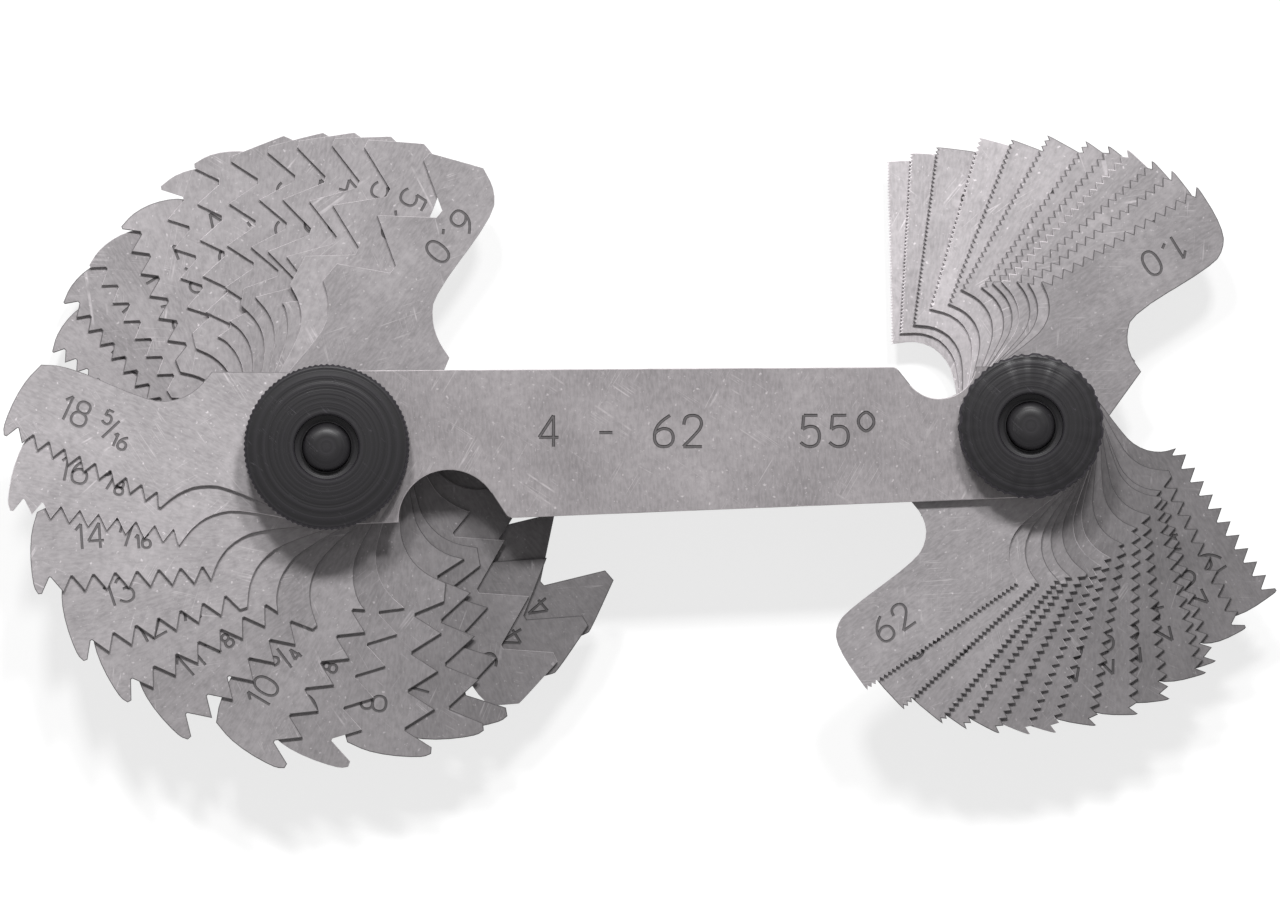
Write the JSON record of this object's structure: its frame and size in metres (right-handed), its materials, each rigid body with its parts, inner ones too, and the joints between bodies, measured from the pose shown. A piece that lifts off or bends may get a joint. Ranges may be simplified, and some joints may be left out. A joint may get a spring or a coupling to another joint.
{
  "type": "thread pitch gauge",
  "caption": "Double-ended screw pitch gauge: a flat steel holder with toothed steel leaves that fan out from a pivot with a round nut at each end.",
  "frame": {"origin": "axis of the left pivot, at the flat back of its screw head", "axes": "+X along the holder from the left pivot to the right one, +Z out of the front face with the nuts"},
  "size_m": [0.1053, 0.0529, 0.0179],
  "materials": {
    "plate_steel": "satin",
    "leaf_steel": "satin",
    "black_oxide": "satin"
  },
  "bodies": {
    "holder": {"back_plate": "plate_steel", "front_plate": "plate_steel", "left_pivot_screw": "black_oxide", "right_pivot_screw": "black_oxide"},
    "left_nut": {"left_nut": "black_oxide"},
    "right_nut": {"right_nut": "black_oxide"},
    "leaf_18tpi": {"leaf_18tpi": "leaf_steel"},
    "leaf_16tpi": {"leaf_16tpi": "leaf_steel"},
    "leaf_14tpi": {"leaf_14tpi": "leaf_steel"},
    "leaf_13tpi": {"leaf_13tpi": "leaf_steel"},
    "leaf_12tpi": {"leaf_12tpi": "leaf_steel"},
    "leaf_11tpi": {"leaf_11tpi": "leaf_steel"},
    "leaf_10tpi": {"leaf_10tpi": "leaf_steel"},
    "leaf_9tpi": {"leaf_9tpi": "leaf_steel"},
    "leaf_8tpi": {"leaf_8tpi": "leaf_steel"},
    "leaf_7tpi": {"leaf_7tpi": "leaf_steel"},
    "leaf_6tpi": {"leaf_6tpi": "leaf_steel"},
    "leaf_5tpi": {"leaf_5tpi": "leaf_steel"},
    "leaf_4_5tpi": {"leaf_4_5tpi": "leaf_steel"},
    "leaf_4tpi": {"leaf_4tpi": "leaf_steel"},
    "leaf_6_0mm": {"leaf_6_0mm": "leaf_steel"},
    "leaf_5_5mm": {"leaf_5_5mm": "leaf_steel"},
    "leaf_5_0mm": {"leaf_5_0mm": "leaf_steel"},
    "leaf_4_5mm": {"leaf_4_5mm": "leaf_steel"},
    "leaf_4_0mm": {"leaf_4_0mm": "leaf_steel"},
    "leaf_3_5mm": {"leaf_3_5mm": "leaf_steel"},
    "leaf_3_0mm": {"leaf_3_0mm": "leaf_steel"},
    "leaf_2_5mm": {"leaf_2_5mm": "leaf_steel"},
    "leaf_2_0mm": {"leaf_2_0mm": "leaf_steel"},
    "leaf_1_75mm": {"leaf_1_75mm": "leaf_steel"},
    "leaf_1_5mm": {"leaf_1_5mm": "leaf_steel"},
    "leaf_1_25mm": {"leaf_1_25mm": "leaf_steel"},
    "leaf_62tpi": {"leaf_62tpi": "leaf_steel"},
    "leaf_60tpi": {"leaf_60tpi": "leaf_steel"},
    "leaf_48tpi": {"leaf_48tpi": "leaf_steel"},
    "leaf_40tpi": {"leaf_40tpi": "leaf_steel"},
    "leaf_36tpi": {"leaf_36tpi": "leaf_steel"},
    "leaf_32tpi": {"leaf_32tpi": "leaf_steel"},
    "leaf_30tpi": {"leaf_30tpi": "leaf_steel"},
    "leaf_28tpi": {"leaf_28tpi": "leaf_steel"},
    "leaf_26tpi": {"leaf_26tpi": "leaf_steel"},
    "leaf_25tpi": {"leaf_25tpi": "leaf_steel"},
    "leaf_24tpi": {"leaf_24tpi": "leaf_steel"},
    "leaf_22tpi": {"leaf_22tpi": "leaf_steel"},
    "leaf_20tpi": {"leaf_20tpi": "leaf_steel"},
    "leaf_19tpi": {"leaf_19tpi": "leaf_steel"},
    "leaf_1_0mm": {"leaf_1_0mm": "leaf_steel"},
    "leaf_0_9mm": {"leaf_0_9mm": "leaf_steel"},
    "leaf_0_8mm": {"leaf_0_8mm": "leaf_steel"},
    "leaf_0_75mm": {"leaf_0_75mm": "leaf_steel"},
    "leaf_0_7mm": {"leaf_0_7mm": "leaf_steel"},
    "leaf_0_6mm": {"leaf_0_6mm": "leaf_steel"},
    "leaf_0_5mm": {"leaf_0_5mm": "leaf_steel"},
    "leaf_0_45mm": {"leaf_0_45mm": "leaf_steel"},
    "leaf_0_4mm": {"leaf_0_4mm": "leaf_steel"},
    "leaf_0_35mm": {"leaf_0_35mm": "leaf_steel"},
    "leaf_0_3mm": {"leaf_0_3mm": "leaf_steel"},
    "leaf_0_25mm": {"leaf_0_25mm": "leaf_steel"}
  },
  "joints": [
    {"name": "leaf_18tpi_pivot", "type": "hinge", "parent": "holder", "child": "leaf_18tpi", "pos_m": [0, 0, 0], "axis": [0, 0, -1], "range_deg": [-182, 3]},
    {"name": "leaf_16tpi_pivot", "type": "hinge", "parent": "holder", "child": "leaf_16tpi", "pos_m": [0, 0, 0], "axis": [0, 0, -1], "range_deg": [-168.6, 16.4]},
    {"name": "leaf_14tpi_pivot", "type": "hinge", "parent": "holder", "child": "leaf_14tpi", "pos_m": [0, 0, 0], "axis": [0, 0, -1], "range_deg": [-153.3, 31.7]},
    {"name": "leaf_13tpi_pivot", "type": "hinge", "parent": "holder", "child": "leaf_13tpi", "pos_m": [0, 0, 0], "axis": [0, 0, -1], "range_deg": [-139, 46]},
    {"name": "leaf_12tpi_pivot", "type": "hinge", "parent": "holder", "child": "leaf_12tpi", "pos_m": [0, 0, 0], "axis": [0, 0, -1], "range_deg": [-128.3, 56.7]},
    {"name": "leaf_11tpi_pivot", "type": "hinge", "parent": "holder", "child": "leaf_11tpi", "pos_m": [0, 0, 0], "axis": [0, 0, -1], "range_deg": [-115.8, 69.2]},
    {"name": "leaf_10tpi_pivot", "type": "hinge", "parent": "holder", "child": "leaf_10tpi", "pos_m": [0, 0, 0], "axis": [0, 0, -1], "range_deg": [-97.9, 87.1]},
    {"name": "leaf_9tpi_pivot", "type": "hinge", "parent": "holder", "child": "leaf_9tpi", "pos_m": [0, 0, 0], "axis": [0, 0, -1], "range_deg": [-87.3, 97.7]},
    {"name": "leaf_8tpi_pivot", "type": "hinge", "parent": "holder", "child": "leaf_8tpi", "pos_m": [0, 0, 0], "axis": [0, 0, -1], "range_deg": [-72.1, 112.9]},
    {"name": "leaf_7tpi_pivot", "type": "hinge", "parent": "holder", "child": "leaf_7tpi", "pos_m": [0, 0, 0], "axis": [0, 0, -1], "range_deg": [-61.9, 123.1]},
    {"name": "leaf_6tpi_pivot", "type": "hinge", "parent": "holder", "child": "leaf_6tpi", "pos_m": [0, 0, 0], "axis": [0, 0, -1], "range_deg": [-57, 128]},
    {"name": "leaf_5tpi_pivot", "type": "hinge", "parent": "holder", "child": "leaf_5tpi", "pos_m": [0, 0, 0], "axis": [0, 0, -1], "range_deg": [-43.6, 141.4]},
    {"name": "leaf_4_5tpi_pivot", "type": "hinge", "parent": "holder", "child": "leaf_4_5tpi", "pos_m": [0, 0, 0], "axis": [0, 0, -1], "range_deg": [-35.5, 149.5]},
    {"name": "leaf_4tpi_pivot", "type": "hinge", "parent": "holder", "child": "leaf_4tpi", "pos_m": [0, 0, 0], "axis": [0, 0, -1], "range_deg": [-25.9, 159.1]},
    {"name": "leaf_6_0mm_pivot", "type": "hinge", "parent": "holder", "child": "leaf_6_0mm", "pos_m": [0, 0, 0], "axis": [0, 0, 1], "range_deg": [-65.2, 119.8]},
    {"name": "leaf_5_5mm_pivot", "type": "hinge", "parent": "holder", "child": "leaf_5_5mm", "pos_m": [0, 0, 0], "axis": [0, 0, 1], "range_deg": [-76.7, 108.3]},
    {"name": "leaf_5_0mm_pivot", "type": "hinge", "parent": "holder", "child": "leaf_5_0mm", "pos_m": [0, 0, 0], "axis": [0, 0, 1], "range_deg": [-82.8, 102.2]},
    {"name": "leaf_4_5mm_pivot", "type": "hinge", "parent": "holder", "child": "leaf_4_5mm", "pos_m": [0, 0, 0], "axis": [0, 0, 1], "range_deg": [-89.4, 95.6]},
    {"name": "leaf_4_0mm_pivot", "type": "hinge", "parent": "holder", "child": "leaf_4_0mm", "pos_m": [0, 0, 0], "axis": [0, 0, 1], "range_deg": [-95.1, 89.9]},
    {"name": "leaf_3_5mm_pivot", "type": "hinge", "parent": "holder", "child": "leaf_3_5mm", "pos_m": [0, 0, 0], "axis": [0, 0, 1], "range_deg": [-102.3, 82.7]},
    {"name": "leaf_3_0mm_pivot", "type": "hinge", "parent": "holder", "child": "leaf_3_0mm", "pos_m": [0, 0, 0], "axis": [0, 0, 1], "range_deg": [-109.5, 75.5]},
    {"name": "leaf_2_5mm_pivot", "type": "hinge", "parent": "holder", "child": "leaf_2_5mm", "pos_m": [0, 0, 0], "axis": [0, 0, 1], "range_deg": [-117.4, 67.6]},
    {"name": "leaf_2_0mm_pivot", "type": "hinge", "parent": "holder", "child": "leaf_2_0mm", "pos_m": [0, 0, 0], "axis": [0, 0, 1], "range_deg": [-127.1, 57.9]},
    {"name": "leaf_1_75mm_pivot", "type": "hinge", "parent": "holder", "child": "leaf_1_75mm", "pos_m": [0, 0, 0], "axis": [0, 0, 1], "range_deg": [-137, 48]},
    {"name": "leaf_1_5mm_pivot", "type": "hinge", "parent": "holder", "child": "leaf_1_5mm", "pos_m": [0, 0, 0], "axis": [0, 0, 1], "range_deg": [-145.5, 39.5]},
    {"name": "leaf_1_25mm_pivot", "type": "hinge", "parent": "holder", "child": "leaf_1_25mm", "pos_m": [0, 0, 0], "axis": [0, 0, 1], "range_deg": [-154.1, 30.9]},
    {"name": "leaf_62tpi_pivot", "type": "hinge", "parent": "holder", "child": "leaf_62tpi", "pos_m": [0.0584, 0, 0], "axis": [0, 0, 1], "range_deg": [-55.8, 129.2]},
    {"name": "leaf_60tpi_pivot", "type": "hinge", "parent": "holder", "child": "leaf_60tpi", "pos_m": [0.0584, 0, 0], "axis": [0, 0, 1], "range_deg": [-63.5, 121.5]},
    {"name": "leaf_48tpi_pivot", "type": "hinge", "parent": "holder", "child": "leaf_48tpi", "pos_m": [0.0584, 0, 0], "axis": [0, 0, 1], "range_deg": [-71.1, 113.9]},
    {"name": "leaf_40tpi_pivot", "type": "hinge", "parent": "holder", "child": "leaf_40tpi", "pos_m": [0.0584, 0, 0], "axis": [0, 0, 1], "range_deg": [-75.9, 109.1]},
    {"name": "leaf_36tpi_pivot", "type": "hinge", "parent": "holder", "child": "leaf_36tpi", "pos_m": [0.0584, 0, 0], "axis": [0, 0, 1], "range_deg": [-81.9, 103.1]},
    {"name": "leaf_32tpi_pivot", "type": "hinge", "parent": "holder", "child": "leaf_32tpi", "pos_m": [0.0584, 0, 0], "axis": [0, 0, 1], "range_deg": [-87.8, 97.2]},
    {"name": "leaf_30tpi_pivot", "type": "hinge", "parent": "holder", "child": "leaf_30tpi", "pos_m": [0.0584, 0, 0], "axis": [0, 0, 1], "range_deg": [-92.9, 92.1]},
    {"name": "leaf_28tpi_pivot", "type": "hinge", "parent": "holder", "child": "leaf_28tpi", "pos_m": [0.0584, 0, 0], "axis": [0, 0, 1], "range_deg": [-100.9, 84.1]},
    {"name": "leaf_26tpi_pivot", "type": "hinge", "parent": "holder", "child": "leaf_26tpi", "pos_m": [0.0584, 0, 0], "axis": [0, 0, 1], "range_deg": [-109.8, 75.2]},
    {"name": "leaf_25tpi_pivot", "type": "hinge", "parent": "holder", "child": "leaf_25tpi", "pos_m": [0.0584, 0, 0], "axis": [0, 0, 1], "range_deg": [-116.8, 68.2]},
    {"name": "leaf_24tpi_pivot", "type": "hinge", "parent": "holder", "child": "leaf_24tpi", "pos_m": [0.0584, 0, 0], "axis": [0, 0, 1], "range_deg": [-125, 60]},
    {"name": "leaf_22tpi_pivot", "type": "hinge", "parent": "holder", "child": "leaf_22tpi", "pos_m": [0.0584, 0, 0], "axis": [0, 0, 1], "range_deg": [-127.6, 57.4]},
    {"name": "leaf_20tpi_pivot", "type": "hinge", "parent": "holder", "child": "leaf_20tpi", "pos_m": [0.0584, 0, 0], "axis": [0, 0, 1], "range_deg": [-136.9, 48.1]},
    {"name": "leaf_19tpi_pivot", "type": "hinge", "parent": "holder", "child": "leaf_19tpi", "pos_m": [0.0584, 0, 0], "axis": [0, 0, 1], "range_deg": [-144.3, 40.7]},
    {"name": "leaf_1_0mm_pivot", "type": "hinge", "parent": "holder", "child": "leaf_1_0mm", "pos_m": [0.0584, 0, 0], "axis": [0, 0, -1], "range_deg": [-127.5, 57.5]},
    {"name": "leaf_0_9mm_pivot", "type": "hinge", "parent": "holder", "child": "leaf_0_9mm", "pos_m": [0.0584, 0, 0], "axis": [0, 0, -1], "range_deg": [-121.9, 63.1]},
    {"name": "leaf_0_8mm_pivot", "type": "hinge", "parent": "holder", "child": "leaf_0_8mm", "pos_m": [0.0584, 0, 0], "axis": [0, 0, -1], "range_deg": [-118.1, 66.9]},
    {"name": "leaf_0_75mm_pivot", "type": "hinge", "parent": "holder", "child": "leaf_0_75mm", "pos_m": [0.0584, 0, 0], "axis": [0, 0, -1], "range_deg": [-112.7, 72.3]},
    {"name": "leaf_0_7mm_pivot", "type": "hinge", "parent": "holder", "child": "leaf_0_7mm", "pos_m": [0.0584, 0, 0], "axis": [0, 0, -1], "range_deg": [-109.1, 75.9]},
    {"name": "leaf_0_6mm_pivot", "type": "hinge", "parent": "holder", "child": "leaf_0_6mm", "pos_m": [0.0584, 0, 0], "axis": [0, 0, -1], "range_deg": [-104.6, 80.4]},
    {"name": "leaf_0_5mm_pivot", "type": "hinge", "parent": "holder", "child": "leaf_0_5mm", "pos_m": [0.0584, 0, 0], "axis": [0, 0, -1], "range_deg": [-98.5, 86.5]},
    {"name": "leaf_0_45mm_pivot", "type": "hinge", "parent": "holder", "child": "leaf_0_45mm", "pos_m": [0.0584, 0, 0], "axis": [0, 0, -1], "range_deg": [-90.1, 94.9]},
    {"name": "leaf_0_4mm_pivot", "type": "hinge", "parent": "holder", "child": "leaf_0_4mm", "pos_m": [0.0584, 0, 0], "axis": [0, 0, -1], "range_deg": [-85.2, 99.8]},
    {"name": "leaf_0_35mm_pivot", "type": "hinge", "parent": "holder", "child": "leaf_0_35mm", "pos_m": [0.0584, 0, 0], "axis": [0, 0, -1], "range_deg": [-76.5, 108.5]},
    {"name": "leaf_0_3mm_pivot", "type": "hinge", "parent": "holder", "child": "leaf_0_3mm", "pos_m": [0.0584, 0, 0], "axis": [0, 0, -1], "range_deg": [-72.3, 112.7]},
    {"name": "leaf_0_25mm_pivot", "type": "hinge", "parent": "holder", "child": "leaf_0_25mm", "pos_m": [0.0584, 0, 0], "axis": [0, 0, -1], "range_deg": [-67.6, 117.4]},
    {"name": "left_nut_turn", "type": "hinge", "parent": "holder", "child": "left_nut", "pos_m": [0, 0, 0], "axis": [0, 0, 1], "range_deg": [0, 180]},
    {"name": "right_nut_turn", "type": "hinge", "parent": "holder", "child": "right_nut", "pos_m": [0.0584, 0, 0], "axis": [0, 0, 1], "range_deg": [0, 180]}
  ]
}
